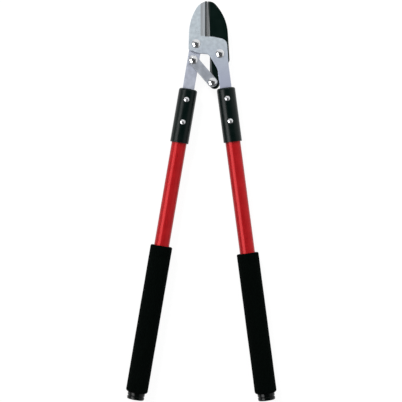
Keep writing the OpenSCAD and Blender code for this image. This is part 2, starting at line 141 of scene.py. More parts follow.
class Mix(Enum):
    """What a mixing node mixes, with the numbers of its two inputs and its output."""

    RGBA = (6, 7, 2)
    FLOAT = (2, 3, 0)


class Ray(Enum):
    """Kinds of ray, by the setting that shows a lamp to them."""

    DIFFUSE = "visible_diffuse"
    GLOSSY = "visible_glossy"


class Bend(Enum):
    """Quarter rounds along a turned profile, by the angle in degrees where they start."""

    OUTWARD = -90
    INWARD = 0


# Meshes


def placed(name: str, data: bpy.types.ID) -> bpy.types.Object:
    """Puts an object into the scene, at the origin.

    Args:
        name: Name of the object.
        data: Its mesh, light or camera.

    Returns:
        The object.
    """
    made = bpy.data.objects.new(name, data)
    bpy.context.scene.collection.objects.link(made)
    return made


@dataclass
class Shell:
    """Points and faces of one closed surface, before it becomes an object.

    Quads are shaded smooth and triangles flat. rim rises to 1 on a piece's rolled
    outer edges and is 0 elsewhere. It lays on the finish's edge tone, which is
    painted shade on the jaw plates and tang, wear with painted highlight on the
    links and wear on the blade.
    """

    points: Array
    quads: Array
    triangles: Array
    rim: Array | float = 0.0

    def made(self, name: str) -> bpy.types.Object:
        """Puts the arrays into a mesh.

        Args:
            name: Name of the new object.

        Returns:
            The object, at the origin and in the scene.
        """
        corners = np.concatenate([self.quads.ravel(), self.triangles.ravel()])
        sizes = np.repeat([4, 3], [len(self.quads), len(self.triangles)])
        starts = np.cumsum(sizes) - sizes
        rim = np.broadcast_to(self.rim, len(self.points))
        mesh = bpy.data.meshes.new(name)
        mesh.vertices.add(len(self.points))
        mesh.vertices.foreach_set("co", self.points.astype(np.float32).ravel())
        mesh.loops.add(len(corners))
        mesh.loops.foreach_set("vertex_index", corners.astype(np.int32))
        mesh.polygons.add(len(sizes))
        mesh.polygons.foreach_set("loop_start", starts.astype(np.int32))
        mesh.polygons.foreach_set("use_smooth", sizes == 4)
        mesh.attributes.new("rim", "FLOAT", "POINT").data.foreach_set("value", rim.astype(np.float32))
        mesh.update(calc_edges=True)
        mesh.validate()
        return placed(name, mesh)


def unit(angle: Array) -> Array:
    """Unit vectors (cos, sin) at the given angles."""
    return np.stack([np.cos(angle), np.sin(angle)], axis=-1)


def paired(x: Array | float, y: Array | float) -> Array:
    """Rows of x and y, where one of them may be a single number for all rows."""
    return np.stack(np.broadcast_arrays(x, y), axis=-1)


def lifted(flat: Array, height: Array | float) -> Array:
    """Flat points with a height as their third number, spread over the points' rows."""
    return np.concatenate([flat, np.broadcast_to(height, flat.shape[:-1])[..., None]], axis=-1)


def grid_quads(numbers: Array, wrap_rows: bool = False) -> Array:
    """Faces of a grid of numbered points, each row of which closes into a ring.

    Each face joins a point to its neighbour along the row and to the two above
    them, with the last column joined to the first.

    Args:
        numbers: Point numbers, one row of the grid per row.
        wrap_rows: Whether the last row joins the first one.

    Returns:
        Array of four point numbers per face.
    """
    above = np.roll(numbers, -1, axis=0)
    faces = [numbers, np.roll(numbers, -1, axis=1), np.roll(above, -1, axis=1), above]
    quads = np.stack(faces, axis=-1)
    return (quads if wrap_rows else quads[:-1]).reshape(-1, 4)


def fan(ring: Array, hub: int) -> Array:
    """Triangles that join each edge of a ring of points to a hub."""
    return np.column_stack([ring, np.roll(ring, -1), np.full(len(ring), hub)])


def corner_arcs(corners: Array, steps: int = 12, edge_share: float = 0.72) -> Array:
    """Outline with every corner rounded.

    With u and v the unit vectors from a corner to its neighbours and h half the
    angle between them, the arc leaves each edge r / tan(h) from the corner, but
    never further than a share of the edge. Its centre lies on the bisector.

    Args:
        corners: Rows of x, y and radius, anticlockwise.
        steps: Number of steps of each arc.
        edge_share: Largest share of an edge that one corner may take.

    Returns:
        Rows of x and y, anticlockwise.
    """
    place = corners[:, :2]
    back, ahead = np.roll(place, 1, axis=0) - place, np.roll(place, -1, axis=0) - place
    back_length = np.linalg.norm(back, axis=1)
    ahead_length = np.linalg.norm(ahead, axis=1)
    u, v = back / back_length[:, None], ahead / ahead_length[:, None]
    half = np.arccos((u * v).sum(axis=1)) / 2
    room = edge_share * np.minimum(back_length, ahead_length)
    reach = np.minimum(corners[:, 2] / np.tan(half), room)
    radius = reach * np.tan(half)
    bisector = (u + v) / np.linalg.norm(u + v, axis=1)[:, None]
    centre = place + bisector * (radius / np.sin(half))[:, None]
    first = place + u * reach[:, None] - centre
    last = place + v * reach[:, None] - centre
    start = np.arctan2(first[:, 1], first[:, 0])
    sweep = (np.arctan2(last[:, 1], last[:, 0]) - start + math.pi) % TURN - math.pi
    angle = start[:, None] + sweep[:, None] * np.linspace(0, 1, steps + 1)
    return (centre[:, None] + radius[:, None, None] * unit(angle)).reshape(-1, 2)


def arc_points(centre: Array, radius: float, start: float, end: float, count: int) -> Array:
    """Points on an arc: the centre plus the radius times (cos, sin) of even angles in radians."""
    return centre + radius * unit(np.linspace(start, end, count))


def quarter(centre: Pair, radius: float, bend: Bend, steps: int = 6) -> Array:
    """Quarter round of a turned profile, away from its axis or back towards it."""
    start = math.radians(bend.value)
    return arc_points(np.array(centre), radius, start, start + math.pi / 2, steps + 1)


def eye_arc(centre: Array, radius: float, bearing: float, share: float, count: int) -> Array:
    """Arc of a round eye, without the stretch where a bar joins it.

    Seen from the eye's middle, the bar's sides meet the eye at an angle to the bar
    whose sine is the bar's width over the eye's. The arc is the rest of the turn.

    Args:
        centre: Middle of the eye.
        radius: Radius of the eye.
        bearing: Direction away from the bar, in radians.
        share: Width of the bar over that of the eye.
        count: Number of points.

    Returns:
        Rows of x and y, anticlockwise.
    """
    reach = math.pi - math.asin(share)
    return arc_points(centre, radius, bearing - reach, bearing + reach, count)


def inward(loop: Array) -> Array:
    """Mitred inward direction at each point of an anticlockwise outline.

    The normals of the two edges at a point are added and divided by one plus
    their dot product, so a step along the result moves both edges by one.

    Args:
        loop: Rows of x and y.

    Returns:
        Rows of x and y, one per point.
    """
    edge = np.roll(loop, -1, axis=0) - loop
    normal = np.stack([-edge[:, 1], edge[:, 0]], axis=-1)
    normal /= np.linalg.norm(normal, axis=1)[:, None]
    before = np.roll(normal, 1, axis=0)
    return (before + normal) / (1 + (before * normal).sum(axis=1))[:, None]


def rolled_profile(low: float, high: float, roll: float, steps: int = 4) -> tuple[Array, Array, Array]:
    """Edge of a stamped plate: a quarter round at the bottom and one at the top.

    Along a quarter round of angle a the inset is roll * (1 - sin a) and the
    height is roll * (1 - cos a) from the face. Its share of the edge tone, partly
    painted light, is sin 2a.

    Args:
        low: Height of the lower face.
        high: Height of the upper face.
        roll: Radius of the quarter rounds.
        steps: Number of steps of a quarter round.

    Returns:
        Inset, height and share of the edge tone at each step, from the lower face up.
    """
    angle = np.linspace(0, math.pi / 2, steps + 1)
    inset = roll * (1 - np.sin(angle))
    rise = roll * (1 - np.cos(angle))
    rubbed = np.sin(2 * angle)
    return (np.concatenate([inset, inset[::-1]]),
            np.concatenate([low + rise, high - rise[::-1]]),
            np.concatenate([rubbed, rubbed[::-1]]))


def refined(loop: Array, pitch: float) -> Array:
    """Outline with its long edges cut into even steps.

    An edge of length l becomes l / pitch steps, rounded up, and the points lie on
    it at even shares of its length.

    Args:
        loop: Rows of x and y.
        pitch: Longest step.

    Returns:
        Rows of x and y.
    """
    edge = np.roll(loop, -1, axis=0) - loop
    count = np.ceil(np.linalg.norm(edge, axis=1) / pitch).astype(int)
    owner = np.repeat(np.arange(len(loop)), count)
    share = (np.arange(len(owner)) - (np.cumsum(count) - count)[owner]) / count[owner]
    return loop[owner] + share[:, None] * edge[owner]


def bulged(loop: Array, centre: Array, radius: float) -> Array:
    """Outline joined with a disc: points inside the disc move straight out to its rim.

    Args:
        loop: Rows of x and y.
        centre: Centre of the disc.
        radius: Radius of the disc.

    Returns:
        Rows of x and y, one per point.
    """
    away = loop - centre
    distance = np.linalg.norm(away, axis=1)[:, None]
    return np.where(distance < radius, centre + away * radius / distance, loop)


def crossed(loop: Array, x: float, above: float) -> tuple[Array, Array]:
    """Adds a point to an outline where it crosses a line of constant x.

    The point lies on the edge whose ends are on either side of the line, in the
    ratio of their distances from it.

    Args:
        loop: Rows of x and y.
        x: Place of the line.
        above: The crossing above this y is the one wanted.

    Returns:
        The new outline and the new point.
    """
    ahead = np.roll(loop, -1, axis=0)
    hit = ((loop[:, 0] - x) * (ahead[:, 0] - x) < 0) & (loop[:, 1] > above)
    at = int(np.flatnonzero(hit)[0])
    share = (x - loop[at, 0]) / (ahead[at, 0] - loop[at, 0])
    point = loop[at] + share * (ahead[at] - loop[at])
    return np.insert(loop, at + 1, point, axis=0), point


def turned(profile: Array, steps: int, closed: bool = False) -> tuple[Array, Array]:
    """Surface of revolution: each profile point carried round the axis.

    At angle t a profile point of radius r and height s lies at
    (r cos t, r sin t, s).

    Args:
        profile: Rows of radius and height, with the outside on the right of the path.
        steps: Number of steps round the axis.
        closed: Whether the profile's last point joins its first.

    Returns:
        Points and quads.
    """
    circle = unit(np.linspace(0, TURN, steps, endpoint=False))
    points = lifted(profile[:, None, :1] * circle, profile[:, 1:])
    numbers = np.arange(len(profile) * steps).reshape(-1, steps)
    return points.reshape(-1, 3), grid_quads(numbers, wrap_rows=closed)


@dataclass
class Stamping:
    """A flat plate with rolled edges and round holes, in millimetres.

    outline is anticlockwise. holes has rows of x, y and radius. A crease is a
    line of points inside the plate whose last one is a point of the outline.
    """

    outline: Array
    holes: Array
    low: float
    high: float
    roll: float
    creases: tuple[Array, ...] = ()
    hole_roll: float = 0.25
    hole_steps: int = 40
    merge_gap: float = 1e-7

    def shell(self, warp: Callable[[Array], Array] | None = None) -> Shell:
        """Carries the edge profile round the outline and the holes, and fills the faces.

        A ring is the outline moved inwards by the profile's inset, and round a
        hole it is a circle widened by it. The innermost rings and the creases
        bound the triangles of both faces.

        Args:
            warp: Moves the finished points, as for a ground bevel.

        Returns:
            The closed surface, in millimetres about the handle pivot.
        """
        inset, height, rubbed = rolled_profile(self.low, self.high, self.roll)
        hole_inset, hole_height, _ = rolled_profile(self.low, self.high, self.hole_roll)
        ring = self.outline + inset[:, None, None] * inward(self.outline)
        circle = unit(np.linspace(0, TURN, self.hole_steps, endpoint=False))
        radius = self.holes[:, 2, None] + hole_inset
        wall = self.holes[:, None, None, :2] + radius[..., None, None] * circle
        crease = np.vstack([np.zeros((0, 2)), *(line[:-1] for line in self.creases)])
        parts = [lifted(ring, height[:, None]), lifted(wall, hole_height[:, None]),
                 lifted(crease, self.low), lifted(crease, self.high)]
        points = np.concatenate([part.reshape(-1, 3) for part in parts])
        splits = np.split(np.arange(len(points)), np.cumsum([part[..., 0].size for part in parts])[:-1])
        rings, walls, low_crease, high_crease = (
            split.reshape(part.shape[:-1]) for split, part in zip(splits, parts))

        low_face = np.concatenate([rings[0], walls[:, 0].ravel(), low_crease])
        high_face = np.concatenate([rings[-1], walls[:, -1].ravel(), high_crease])
        fill = self.filled(points[high_face, :2])
        triangles = np.concatenate([low_face[fill[:, ::-1]], high_face[fill]])
        quads = np.concatenate([grid_quads(rings), *(grid_quads(hole)[:, ::-1] for hole in walls)])
        rim = np.zeros(len(points))
        # Share of the edge tone on the outline's rolled edges, which is painted light on the steel finishes
        # and wear on the blade
        rim[rings] = rubbed[:, None]
        return Shell(points if warp is None else warp(points), quads, triangles, rim)

    def filled(self, flat: Array) -> Array:
        """Triangles of one face, without those that cover a hole.

        The outline, the holes and the creases are edges of a triangulation of
        all points. A triangle with its three corners on one hole covers it.

        Args:
            flat: Points of the outline, then of the holes, then of the creases.

        Returns:
            Array of three point numbers per triangle, anticlockwise.
        """
        outer = np.arange(len(self.outline))
        inner = len(outer) + np.arange(len(self.holes) * self.hole_steps).reshape(-1, self.hole_steps)
        edges = [paired(outer, np.roll(outer, -1)),
                 paired(inner, np.roll(inner, -1, axis=1)).reshape(-1, 2)]
        start = outer.size + inner.size
        for line in self.creases:
            end = np.linalg.norm(self.outline - line[-1], axis=1).argmin()
            chain = np.append(start + np.arange(len(line) - 1), end)
            edges.append(paired(chain[:-1], chain[1:]))
            start += len(line) - 1
        inside_only = 1
        _, _, faces, sources, *_ = delaunay_2d_cdt(
            flat.tolist(), np.concatenate(edges).tolist(), [], inside_only, self.merge_gap)
        triangles = np.array(sources)[:, 0][np.array(faces)]
        owner = np.full(len(flat), -1)
        owner[inner] = np.arange(len(self.holes))[:, None]
        corner = owner[triangles]
        covers = (corner[:, 0] >= 0) & (corner == corner[:, :1]).all(axis=1)
        return triangles[~covers]


# Materials


def linear(tone: Tone) -> tuple[float, ...]:
    """Linear colour of a display tone: ((c / 255 + 0.055) / 1.055) ** 2.4, or c / 12.92 near black.

    Args:
        tone: Red, green and blue from 0 to 255.

    Returns:
        Red, green, blue and alpha from 0 to 1.
    """
    share = np.array(tone) / 255
    colour = np.where(share <= 0.04045, share / 12.92, ((share + 0.055) / 1.055) ** 2.4)
    return (*colour.tolist(), 1.0)


class Graph:
    """The nodes of a material or a world, under construction."""

    def __init__(self, owner: bpy.types.Material | bpy.types.World, output: str) -> None:
        """Empties the owner's nodes and adds its output.

        Args:
            owner: The material or world.
            output: Kind of the output node.
        """
        owner.use_nodes = True
        self.tree = owner.node_tree
        self.tree.nodes.clear()
        self.surface = self.node(output).inputs["Surface"]

    def put(self, value: Feed, target: Socket) -> None:
        """Links a socket to an input, or sets a constant on it.

        Args:
            value: The socket or the constant.
            target: The input.
        """
        if isinstance(value, Socket):
            self.tree.links.new(value, target)
        else:
            target.default_value = value

    def node(self, kind: str, inputs: dict[str | int, Feed] | None = None,
             **settings: str) -> bpy.types.Node:
        """Adds a node.

        Args:
            kind: Kind of the node.
            inputs: What its inputs get, by their names or numbers.
            settings: Properties to set on it.

        Returns:
            The node.
        """
        made = self.tree.nodes.new(f"ShaderNode{kind}")
        for key, value in settings.items():
            setattr(made, key, value)
        for key, value in (inputs or {}).items():
            self.put(value, made.inputs[key])
        return made

    def rotated(self, place: Socket, turn: float) -> Socket:
        """Coordinates turned about Z by an angle in degrees."""
        rotation = (0, 0, math.radians(turn))
        return self.node("Mapping", {"Vector": place, "Rotation": rotation}).outputs["Vector"]

    def axes(self, place: Socket) -> tuple[Socket, ...]:
        """X, Y and Z of coordinates."""
        return tuple(self.node("SeparateXYZ", {0: place}).outputs)

    def span(self, value: Socket, start: float, end: float, low: float = 0.0, high: float = 1.0) -> Socket:
        """Maps a value from start..end smoothly onto low..high."""
        ends = {"Value": value, "From Min": start, "From Max": end, "To Min": low, "To Max": high}
        return self.node("MapRange", ends, interpolation_type="SMOOTHSTEP").outputs["Result"]

    def combined(self, kind: Operation, first: Socket, *others: Socket | float) -> Socket:
        """Carries arithmetic along a row of values.

        Args:
            kind: The arithmetic.
            first: The first value.
            others: The values that follow it.

        Returns:
            The result.
        """
        for other in others:
            first = self.node("Math", {0: first, 1: other}, operation=kind.value).outputs[0]
        return first

    def mixed(self, kind: Mix, share: Socket | float, first: Feed, second: Feed) -> Socket:
        """Mixes two numbers or colours by a share of the second."""
        a, b, result = kind.value
        return self.node("Mix", {"Factor": share, a: first, b: second}, data_type=kind.name).outputs[result]


class Recipe(Graph):
    """A material under construction: its shader and the nodes that feed it.

    The details are octaves of noise. Grinding lines show where their noise passes
    through scratch_span, by up to scratch_share.
    """

    smooth_detail: float = 0.0
    fine_detail: float = 2.0
    scratch_span: Pair = (0.3, 0.7)
    scratch_share: float = 0.3

    def __init__(self, name: str) -> None:
        """Starts an empty material with a shader and object coordinates.

        Args:
            name: Name of the material.
        """
        self.material = bpy.data.materials.new(name)
        super().__init__(self.material, "OutputMaterial")
        self.shader = self.node("BsdfPrincipled")
        self.put(self.shader.outputs["BSDF"], self.surface)
        self.place = self.node("TexCoord").outputs["Object"]

    def feed(self, **values: Feed) -> None:
        """Gives the shader's own inputs, named with _ for a space, their constants or sockets."""
        for key, value in values.items():
            self.put(value, self.shader.inputs[key.replace("_", " ")])

    def stretched(self, stretch: Triple, turn: float = 0.0) -> Socket:
        """Object coordinates turned about Z and then stretched along each turned axis."""
        place = self.rotated(self.place, turn)
        return self.node("Mapping", {"Vector": place, "Scale": stretch}).outputs["Vector"]

    def noise(self, place: Socket, size: float, detail: float = 3.0) -> Socket:
        """Noise whose patches are about a given size in metres."""
        return self.node("TexNoise", {"Vector": place, "Scale": 1 / size, "Detail": detail}).outputs["Fac"]

    def cells(self, place: Socket, size: float) -> Socket:
        """Distance to the nearest cell centre, for cells of a given size in metres."""
        return self.node("TexVoronoi", {"Vector": place, "Scale": 1 / size}).outputs["Distance"]

    def attribute(self, name: str) -> Socket:
        """Value of a number stored on the piece's points."""
        return self.node("Attribute", attribute_name=name).outputs["Fac"]

    def blend(self, share: Socket, *colours: Tone | Socket) -> Socket:
        """Mixes two colours, each a tone or a socket, by a share of the second."""
        feeds = (colour if isinstance(colour, Socket) else linear(colour) for colour in colours)
        return self.mixed(Mix.RGBA, share, *feeds)

    def scratched(self, colour: Socket, line: Tone, stretch: Triple, size: float) -> Socket:
        """Lays grinding lines of another tone over a colour.

        Args:
            colour: The colour under the lines.
            line: Tone of the lines.
            stretch: Stretch of the coordinates, small along the lines.
            size: Width of the lines in metres.

        Returns:
            The colour with its lines.
        """
        lines = self.noise(self.stretched(stretch), size, self.fine_detail)
        share = self.span(lines, *self.scratch_span, 0.0, self.scratch_share)
        return self.blend(share, colour, line)

    def relief(self, height: Socket, depth: float) -> None:
        """Feeds the shader's normal with a height of the given depth in metres."""
        bump = self.node("Bump", {"Height": height, "Distance": depth})
        self.feed(Normal=bump.outputs["Normal"])


@dataclass(frozen=True)
class Finish:
    """A finish of two mottled tones with a fine grain in relief.

    Sizes are in metres. turn is the brushing direction, in degrees clockwise
    from Y. The edge tone colours the rolled edges: painted shade on the jaw plates
    and the tang, wear with painted highlight on the links and wear on the blade's
    coating. grain_share is the grain's part in the mottle, and the spans are where
    the mottle parts the tones and the two roughnesses.
    """

    name: str
    dark: Tone
    light: Tone
    rough: Pair
    grain: Grain
    grain_size: float
    depth: float
    metallic: float = 0.0
    turn: float = 0.0
    mottle_size: float = 0.012
    specular: float = 0.5
    rubbed: Tone | None = None
    brush_stretch: Triple = (1.0, 0.03, 1.0)
    grain_share: float = 0.25
    tone_span: Pair = (0.3, 0.7)
    rough_span: Pair = (0.25, 0.75)

    def grained(self, recipe: Recipe) -> Socket:
        """Height of the fine grain, by its kind.

        Args:
            recipe: The material under construction.

        Returns:
            A height from 0 to 1.
        """
        if self.grain is Grain.CELLS:
            return recipe.cells(recipe.place, self.grain_size)
        place, detail = recipe.place, recipe.fine_detail
        if self.grain is Grain.BRUSHED:
            place = recipe.stretched(self.brush_stretch, self.turn)
        elif self.grain is Grain.PEEL:
            detail = recipe.smooth_detail
        return recipe.noise(place, self.grain_size, detail)

    def tones(self, recipe: Recipe, mottle: Socket) -> Socket:
        """Colour of the surface.

        Args:
            recipe: The material under construction.
            mottle: Broad noise that parts the two tones.

        Returns:
            The colour.
        """
        colour = recipe.blend(recipe.span(mottle, *self.tone_span), self.dark, self.light)
        if self.rubbed is None:
            return colour
        # Edge tone on the rolled edges: painted shade on the jaw plates and tang, partly painted highlight
        # on the links, wear on the blade
        return recipe.blend(recipe.attribute("rim"), colour, self.rubbed)

    def roughness(self, recipe: Recipe, mottle: Socket) -> Socket:
        """Roughness of the surface, between the finish's two values."""
        return recipe.span(mottle, *self.rough_span, *self.rough)

    def material(self) -> bpy.types.Material:
        """Builds the finish.

        Returns:
            The material.
        """
        recipe = Recipe(self.name)
        height = self.grained(recipe)
        broad = recipe.noise(recipe.place, self.mottle_size)
        mottle = recipe.mixed(Mix.FLOAT, self.grain_share, broad, height)
        recipe.feed(Metallic=self.metallic, Specular_IOR_Level=self.specular)
        recipe.feed(Base_Color=self.tones(recipe, mottle), Roughness=self.roughness(recipe, mottle))
        recipe.relief(height, self.depth)
        return recipe.material


@dataclass(frozen=True, kw_only=True)
class JawFinish(Finish):
    """Satin plating with a ground band along the anvil edge.

    brink, floor and end are the band's inner line, the foot of its slope and its
    outer line along X, and low is its lower end along Y. Each fades over the
    widths given for it, before and past its line. The band is painted darker than
    the plating, most on its slope, as painted shade under its grinding lines. The
    plating is painted darker and bluer from the handle shade's top down to its low
    end along Y, as painted shade where the light falls off towards the handles.
    """

    brink: float
    floor: float
    end: float
    low: float
    haze_top: float
    haze_low: float
    # Painted shade tones of the band's slope and its shelf
    slope: Tone = (160, 163, 166)
    shelf: Tone = (173, 177, 181)
    # Painted shade tone of the plating towards the handles
    haze: Tone = (171, 177, 196)
    brink_fade: Pair = (0.0006, 0.0009)
    floor_fade: Pair = (0.0012, 0.0004)
    end_fade: float = 0.0004
    low_fade: float = 0.002
    line_size: float = 0.0009
    line_stretch: Triple = (1.0, 0.02, 1.0)

    def tones(self, recipe: Recipe, mottle: Socket) -> Socket:
        """Colour of the plating, with painted shade towards the handles and on the band.

        Args:
            recipe: The material under construction.
            mottle: Broad noise that parts the two tones.

        Returns:
            The colour.
        """
        x, y, _ = recipe.axes(recipe.place)
        # Painted shade: the plating darkens towards the handles, where the light falls off
        handle_shaded = recipe.span(y, self.haze_low, self.haze_top, 1.0, 0.0)
        plated = recipe.blend(handle_shaded, super().tones(recipe, mottle), self.haze)
        across = recipe.span(x, self.brink - self.brink_fade[0], self.brink + self.brink_fade[1])
        before = recipe.span(x, self.end - self.end_fade, self.end, 1.0, 0.0)
        along = recipe.span(y, self.low, self.low + self.low_fade)
        foot = recipe.span(x, self.floor - self.floor_fade[0], self.floor + self.floor_fade[1])
        # Painted shade on the band: darkest on its slope, lighter on the shelf, under real grinding lines
        ground = recipe.blend(foot, self.slope, self.shelf)
        ground = recipe.scratched(ground, self.dark, self.line_stretch, self.line_size)
        return recipe.blend(recipe.combined(Operation.MULTIPLY, across, before, along), plated, ground)


@dataclass(frozen=True, kw_only=True)
class BladeFinish(Finish):
    """Dark coating with a bare ground bevel along the cutting edge.

    edge is the cutting edge's place along X and heel its lower end along Y. The
    bare strip is bevel wide at the heel and narrows by lean for each metre above
    it. Its border is ragged, and fades over the widths before and past its line.
    The bevel is painted lighter at the cutting edge and darker inwards, as painted
    light against the anvil's shadow on it.
    """

    edge: float
    bevel: float
    heel: float
    lean: float = 0.055
    # Painted light along the bevel: bare tone at the cutting edge, shaded tone inwards, which also colours
    # the grinding lines
    bare: Tone = (180, 184, 186)
    bevel_shade_and_lines: Tone = (94, 98, 99)
    bare_rough: float = 0.42
    bare_metallic: float = 0.5
    border_fade: Pair = (0.0001, 0.0004)
    ragged_size: float = 0.004
    ragged_depth: float = 0.0004
    ragged_stretch: Triple = (0.3, 1.0, 1.0)
    line_size: float = 0.0005
    line_stretch: Triple = (0.04, 1.0, 1.0)

    def bared(self, recipe: Recipe) -> Socket:
        """Share of bare steel: 1 beside the edge, with a slightly ragged border.

        Args:
            recipe: The material under construction.

        Returns:
            The share.
        """
        x, y, _ = recipe.axes(recipe.place)
        ragged = recipe.noise(recipe.stretched(self.ragged_stretch), self.ragged_size)
        ragged = recipe.combined(Operation.MULTIPLY, ragged, self.ragged_depth)
        leaning = recipe.combined(Operation.MULTIPLY, y, self.lean)
        border = recipe.combined(Operation.ADD, x, ragged, leaning)
        limit = self.edge + self.bevel + self.lean * self.heel
        return recipe.span(border, limit - self.border_fade[0], limit + self.border_fade[1], 1.0, 0.0)

    def tones(self, recipe: Recipe, mottle: Socket) -> Socket:
        """Colour of the coating, with grinding lines across the bare bevel, painted lighter at the cutting
        edge.

        Args:
            recipe: The material under construction.
            mottle: Broad noise that parts the two tones.

        Returns:
            The colour.
        """
        x, _, _ = recipe.axes(recipe.place)
        # Painted light: the bevel is lighter at the cutting edge and darker inwards, against the anvil's
        # shadow
        painted_edge_light = recipe.span(x, self.edge, self.edge + self.bevel, 1.0, 0.0)
        ground = recipe.blend(painted_edge_light, self.bevel_shade_and_lines, self.bare)
        ground = recipe.scratched(ground, self.bevel_shade_and_lines, self.line_stretch, self.line_size)
        bared = self.bared(recipe)
        recipe.feed(Metallic=recipe.combined(Operation.MULTIPLY, bared, self.bare_metallic))
        return recipe.blend(bared, super().tones(recipe, mottle), ground)

    def roughness(self, recipe: Recipe, mottle: Socket) -> Socket:
        """Roughness of the coating and of the bare bevel."""
        coated = super().roughness(recipe, mottle)
        return recipe.mixed(Mix.FLOAT, self.bared(recipe), coated, self.bare_rough)


FINISHES = {
    Slot.ANVIL: Finish(
        "dull_anvil_alloy", dark=(58, 62, 64), light=(74, 78, 80), rough=(0.45, 0.6),
        grain=Grain.BRUSHED, grain_size=0.0006, depth=0.00002, metallic=0.6),
    Slot.LINK: Finish(
        "satin_link_steel", dark=(144, 149, 158), light=(168, 173, 182), rough=(0.45, 0.6),
        grain=Grain.BRUSHED, grain_size=0.0006, depth=0.00002, metallic=0.45, turn=-43.0,
        # Edge tone brighter than the link: wear with painted highlight on the rolled edges
        rubbed=(200, 202, 206)),
    Slot.TANG: Finish(
        "satin_tang_steel", dark=(171, 176, 190), light=(190, 195, 209), rough=(0.45, 0.58),
        grain=Grain.BLASTED, grain_size=0.0005, depth=0.00002, metallic=0.45, mottle_size=0.006,
        # Edge tone darker than the tang: painted shade on the rolled edges
        rubbed=(160, 165, 178)),
    Slot.HARDWARE: Finish(
        "bright_hardware", dark=(226, 228, 232), light=(240, 242, 244), rough=(0.1, 0.2),
        grain=Grain.PEEL, grain_size=0.0015, depth=0.00001, metallic=0.96),
    Slot.RIVET: Finish(
        "bright_rivet_steel", dark=(220, 222, 226), light=(238, 240, 242), rough=(0.14, 0.26),
        grain=Grain.PEEL, grain_size=0.0012, depth=0.00001, metallic=0.88),
    Slot.WASHER: Finish(
        "bronze_washers", dark=(150, 112, 62), light=(182, 142, 84), rough=(0.35, 0.5),
        grain=Grain.BRUSHED, grain_size=0.0005, depth=0.00001, metallic=1.0),
    Slot.SOCKET: Finish(
        "black_moulded_sockets", dark=(0, 12, 10), light=(2, 15, 13), rough=(0.26, 0.33),
        grain=Grain.BLASTED, grain_size=0.0013, depth=0.00013, specular=0.2),
    Slot.TUBE: Finish(
        "red_tube_enamel", dark=(164, 13, 19), light=(172, 17, 23), rough=(0.3, 0.36),
        grain=Grain.PEEL, grain_size=0.0016, depth=0.00002, metallic=0.22, specular=0.22),
    Slot.FOAM: Finish(
        "black_grip_foam", dark=(0, 2, 1), light=(4, 9, 7), rough=(0.9, 1.0),
        grain=Grain.CELLS, grain_size=0.0009, depth=0.0004, mottle_size=0.002, specular=0.03),
    Slot.CAP: Finish(
        "black_cap_vinyl", dark=(1, 4, 3), light=(4, 7, 6), rough=(0.16, 0.24),
        grain=Grain.PEEL, grain_size=0.003, depth=0.00002, specular=0.2),
}


class FinishingShop:
    """Holds the materials by slot, and fits pieces and CAD nodes with them."""

    def __init__(self, finishes: dict[Slot, Finish]) -> None:
        """Builds every material."""
        self.materials = {slot: finish.material() for slot, finish in finishes.items()}

    def dress(self, slot: Slot, *nodes: str) -> None:
        """Gives CAD nodes their finish.

        Args:
            slot: Slot of the finish.
            nodes: Names of the nodes.
        """
        for node in nodes:
            materials = frame["nodes"][node].data.materials
            materials.clear()
            materials.append(self.materials[slot])
            log.info("dressed %s with %s", node, self.materials[slot].name)

    def install(self, shell: Shell, name: str, node: str, slot: Slot) -> bpy.types.Object:
        """Makes a new piece that stands for a CAD node.

        Args:
            shell: Surface of the piece, in frame metres.
            name: Name of the piece.
            node: The CAD node that it replaces.
            slot: Slot of its finish.

        Returns:
            The piece.
        """
        piece = shell.made(name)
        piece.data.materials.append(self.materials[slot])
        body = frame["nodes"][node]["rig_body"]
        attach(piece, body)
        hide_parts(node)
        log.info("built %s for %s on %s, %d faces", name, node, body, len(piece.data.polygons))
        return piece


# Sub-assemblies


def joint_place(name: str) -> Array:
    """Place of a joint of the record, in metres."""
    return np.array(next(j["pos_m"] for j in frame["joints"] if j["name"] == name))


def node_middle(name: str) -> Array:
    """Middle of a CAD node's box, in metres."""
    low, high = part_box(name)
    return np.array((low + high) / 2)


def grip_mount(side: Side) -> dict[str, Any]:
    """The record's mount on a handle's grip."""
    return next(m for m in frame["record"]["mounts"] if m["name"] == f"{side.value}_grip")


@dataclass(frozen=True)
class Corner:
    """A rounded corner of an outline, placed by shares of the two sizes that it follows."""

    x_share: float
    y_share: float
    radius: float

    def at(self, width: float, height: float, base: Pair = (0.0, 0.0)) -> Triple:
        """x, y and radius of the corner, measured from a base point."""
        return base[0] + self.x_share * width, base[1] + self.y_share * height, self.radius


